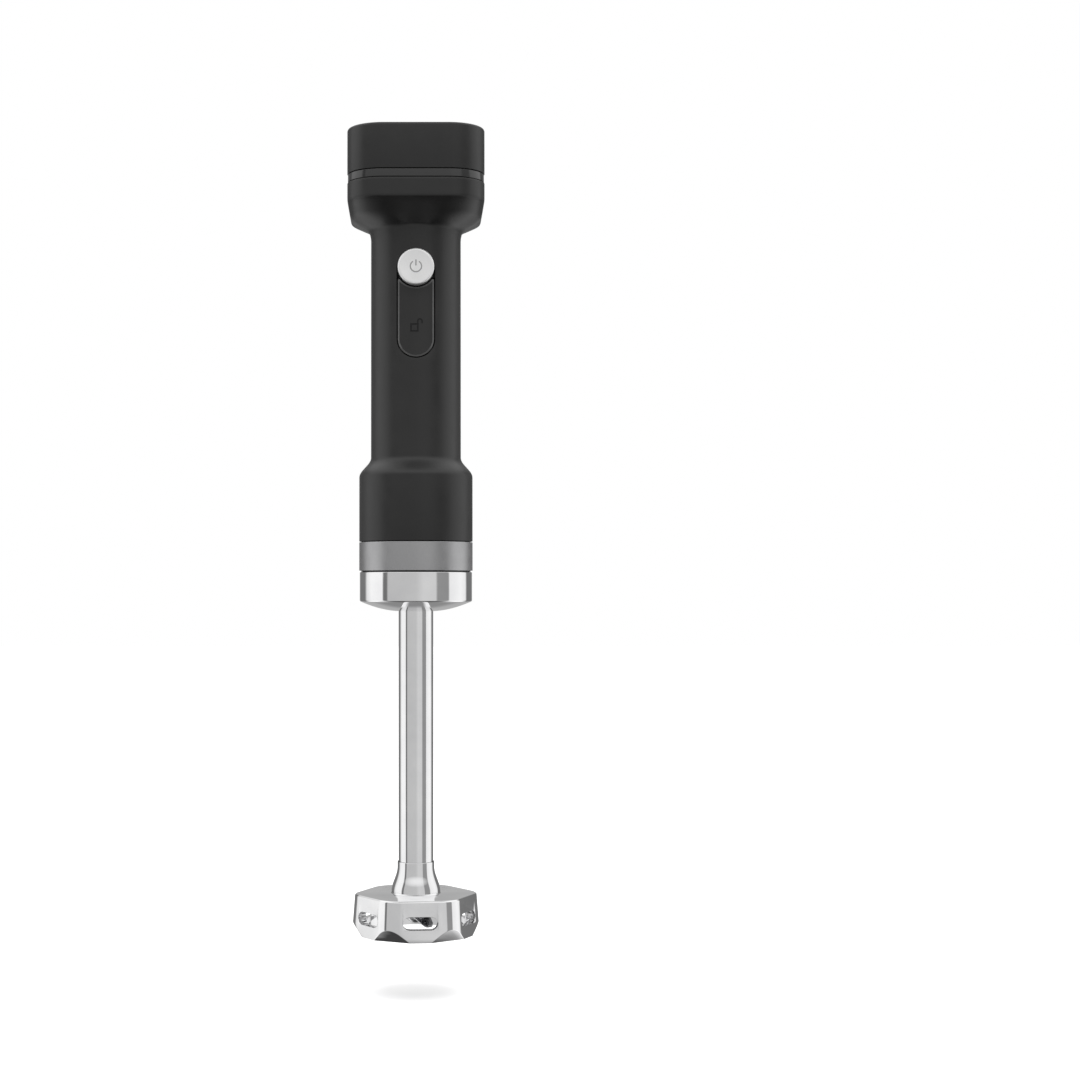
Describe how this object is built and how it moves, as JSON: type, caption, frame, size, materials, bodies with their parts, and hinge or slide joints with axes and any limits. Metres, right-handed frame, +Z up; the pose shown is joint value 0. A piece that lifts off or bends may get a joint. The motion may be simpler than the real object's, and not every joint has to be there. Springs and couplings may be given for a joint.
{
  "type": "cordless hand blender",
  "caption": "Cordless immersion blender: black motor handle with power and unlock buttons, a lift-off battery pack on top and a twist-off steel blending arm with a guarded blade.",
  "frame": {"origin": "on the shaft axis, at the level of the blade guard's feet", "axes": "+Z up along the drive shaft, the buttons face -Y, +X to the right seen from the front"},
  "size_m": [0.0716, 0.08, 0.4209],
  "materials": {
    "satin_black": "satin, soft-touch",
    "gloss_black": "gloss",
    "inside_black": "matte, glass-filled",
    "natural_plastic": "matte",
    "polished_steel": "mirror polished stainless steel",
    "band_steel": "satin bead-blasted",
    "silver_button": "satin silver",
    "machined_steel": "machined",
    "copper": "enamelled copper",
    "carbon": "sintered",
    "bronze": "sintered bronze",
    "rubber": "matte",
    "board_green": "solder mask",
    "cell_wrap": null,
    "lead_red": "insulated copper lead",
    "clear_plastic": "diffusing clear plastic"
  },
  "bodies": {
    "motor_body": {"housing_front": "satin_black", "housing_rear": "satin_black", "collar_band": "band_steel", "arm_socket": "inside_black", "socket_screw_front": "machined_steel", "socket_screw_rear": "machined_steel", "motor_isolator": "rubber", "motor_can": "machined_steel", "motor_end_cap": "natural_plastic", "magnet_left": "carbon", "magnet_right": "carbon", "brush_left": "carbon", "brush_right": "carbon", "motor_bearing_lower": "machined_steel", "motor_bearing_upper": "machined_steel", "switch_bracket": "inside_black", "control_board": "board_green", "power_switch": "inside_black", "unlock_switch": "inside_black", "power_button_spring": "machined_steel", "unlock_button_spring": "machined_steel", "motor_lead": "lead_red", "battery_lead": "lead_red", "dock_tray": "inside_black", "dock_connector": "inside_black", "dock_screw_front": "machined_steel", "dock_screw_rear": "machined_steel"},
    "rotor": {"motor_shaft": "machined_steel", "rotor_core": "machined_steel", "rotor_winding": "copper", "commutator": "copper", "motor_coupling": "inside_black"},
    "interlock": {"interlock_ring": "natural_plastic"},
    "arm": {"blade_guard": "polished_steel", "arm_tube": "polished_steel", "arm_collar": "polished_steel", "arm_hub": "inside_black", "upper_bushing": "bronze", "lower_bushing": "bronze", "shaft_seal": "rubber"},
    "blade": {"drive_shaft": "machined_steel", "shaft_coupling": "machined_steel", "blade": "polished_steel", "blade_nut": "polished_steel"},
    "power_button": {"power_button": "silver_button"},
    "unlock_button": {"unlock_button": "satin_black"},
    "battery": {"battery_shell": "satin_black", "battery_base": "gloss_black", "battery_terminal_block": "inside_black", "battery_board": "board_green", "charge_light_pipe": "clear_plastic", "battery_screw_left": "machined_steel", "battery_screw_right": "machined_steel", "battery_cell_left": "cell_wrap", "battery_cell_middle": "cell_wrap", "battery_cell_right": "cell_wrap", "release_spring_left": "machined_steel", "release_spring_right": "machined_steel"},
    "release_left": {"release_button_left": "satin_black"},
    "release_right": {"release_button_right": "satin_black"}
  },
  "joints": [
    {"name": "motor_spin", "type": "hinge", "parent": "motor_body", "child": "rotor", "pos_m": [0, 0, 0.24], "axis": [0, 0, 1], "continuous": true},
    {"name": "arm_twist", "type": "hinge", "parent": "motor_body", "child": "interlock", "pos_m": [0, 0, 0.2], "axis": [0, 0, 1], "range_deg": [0, 40]},
    {"name": "arm_pull", "type": "slide", "parent": "interlock", "child": "arm", "axis": [0, 0, -1], "range_m": [0, 0.03]},
    {"name": "blade_spin", "type": "hinge", "parent": "arm", "child": "blade", "pos_m": [0, 0, 0.1], "axis": [0, 0, 1], "continuous": true},
    {"name": "power_press", "type": "slide", "parent": "motor_body", "child": "power_button", "axis": [0, 1, 0], "range_m": [0, 0.0016], "stiffness_N_per_m": 600, "springref_m": -0.002, "deforming": ["power_button_spring"]},
    {"name": "unlock_press", "type": "slide", "parent": "motor_body", "child": "unlock_button", "axis": [0, 1, 0], "range_m": [0, 0.0012], "stiffness_N_per_m": 600, "springref_m": -0.002, "deforming": ["unlock_button_spring"]},
    {"name": "battery_lift", "type": "slide", "parent": "motor_body", "child": "battery", "axis": [0, 0, 1], "range_m": [0, 0.04]},
    {"name": "release_left_press", "type": "slide", "parent": "battery", "child": "release_left", "axis": [1, 0, 0], "range_m": [0, 0.002], "stiffness_N_per_m": 800, "springref_m": -0.002, "deforming": ["release_spring_left"]},
    {"name": "release_right_press", "type": "slide", "parent": "battery", "child": "release_right", "axis": [-1, 0, 0], "range_m": [0, 0.002], "stiffness_N_per_m": 800, "springref_m": -0.002, "deforming": ["release_spring_right"]}
  ],
  "couplings": [
    {"joint": "blade_spin", "follows": "motor_spin", "ratio": 1}
  ]
}
